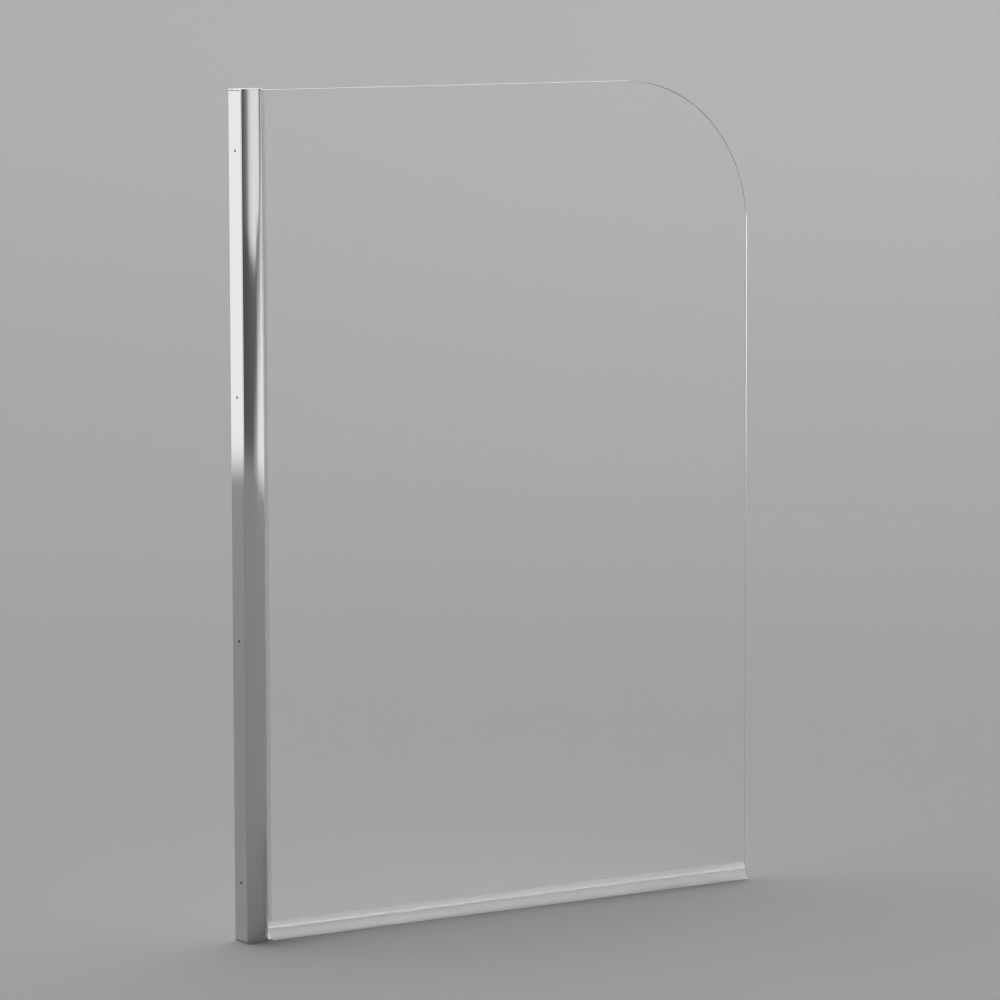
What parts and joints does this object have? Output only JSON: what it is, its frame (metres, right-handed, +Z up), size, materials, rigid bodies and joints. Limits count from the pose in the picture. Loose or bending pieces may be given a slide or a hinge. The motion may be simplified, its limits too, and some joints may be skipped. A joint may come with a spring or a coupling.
{
  "type": "bath screen",
  "caption": "Bath screen: clear glass panel with a quadrant top corner, pivoting on a full-height chrome wall profile, with a translucent wiper seal along its foot.",
  "frame": {"origin": "on the wall face, at the middle of the wall channel's row of four fixing holes, which is the middle of the profile's depth and of the height", "axes": "+X away from the wall along the closed panel, +Y through the glass away from the bath, +Z up"},
  "size_m": [1.021, 0.0441, 1.4],
  "materials": {
    "chrome": "polished bright chrome plate",
    "channel_bright": "bright plated extrusion, the wall side",
    "stainless": "turned stainless steel",
    "acetal": "natural acetal",
    "soft_grey": "soft grey wiper strip",
    "glass": "clear toughened glass, polished edges",
    "gasket_clear": "clear flexible glazing gasket",
    "seal_clear": "clear rigid seal channel",
    "seal_soft": "translucent soft seal lips"
  },
  "bodies": {
    "wall": {"wall_channel": "channel_bright"},
    "post": {"hinge_post": "chrome", "post_seal_front": "soft_grey", "post_seal_rear": "soft_grey", "lock_screws": "stainless", "lock_nuts": "stainless", "lock_screw_covers": "chrome", "top_cap": "chrome", "foot_cap": "chrome", "top_cap_screws": "stainless", "foot_cap_screws": "stainless", "top_pivot_pin": "stainless", "bottom_pivot_pin": "stainless"},
    "panel": {"top_bush": "acetal", "bottom_bush": "acetal", "glass_carrier": "chrome", "glass_support_block": "acetal", "glazing_packers": "acetal", "glass_panel": "glass", "gasket_front": "gasket_clear", "gasket_rear": "gasket_clear", "seal_channel": "seal_clear", "seal_lips": "seal_soft"}
  },
  "joints": [
    {"name": "width_adjust", "type": "slide", "parent": "wall", "child": "post", "axis": [1, 0, 0], "range_m": [0, 0.008]},
    {"name": "screen_pivot", "type": "hinge", "parent": "post", "child": "panel", "pos_m": [0.029, 0, 0], "axis": [0, 0, 1], "range_deg": [-90, 90]}
  ]
}
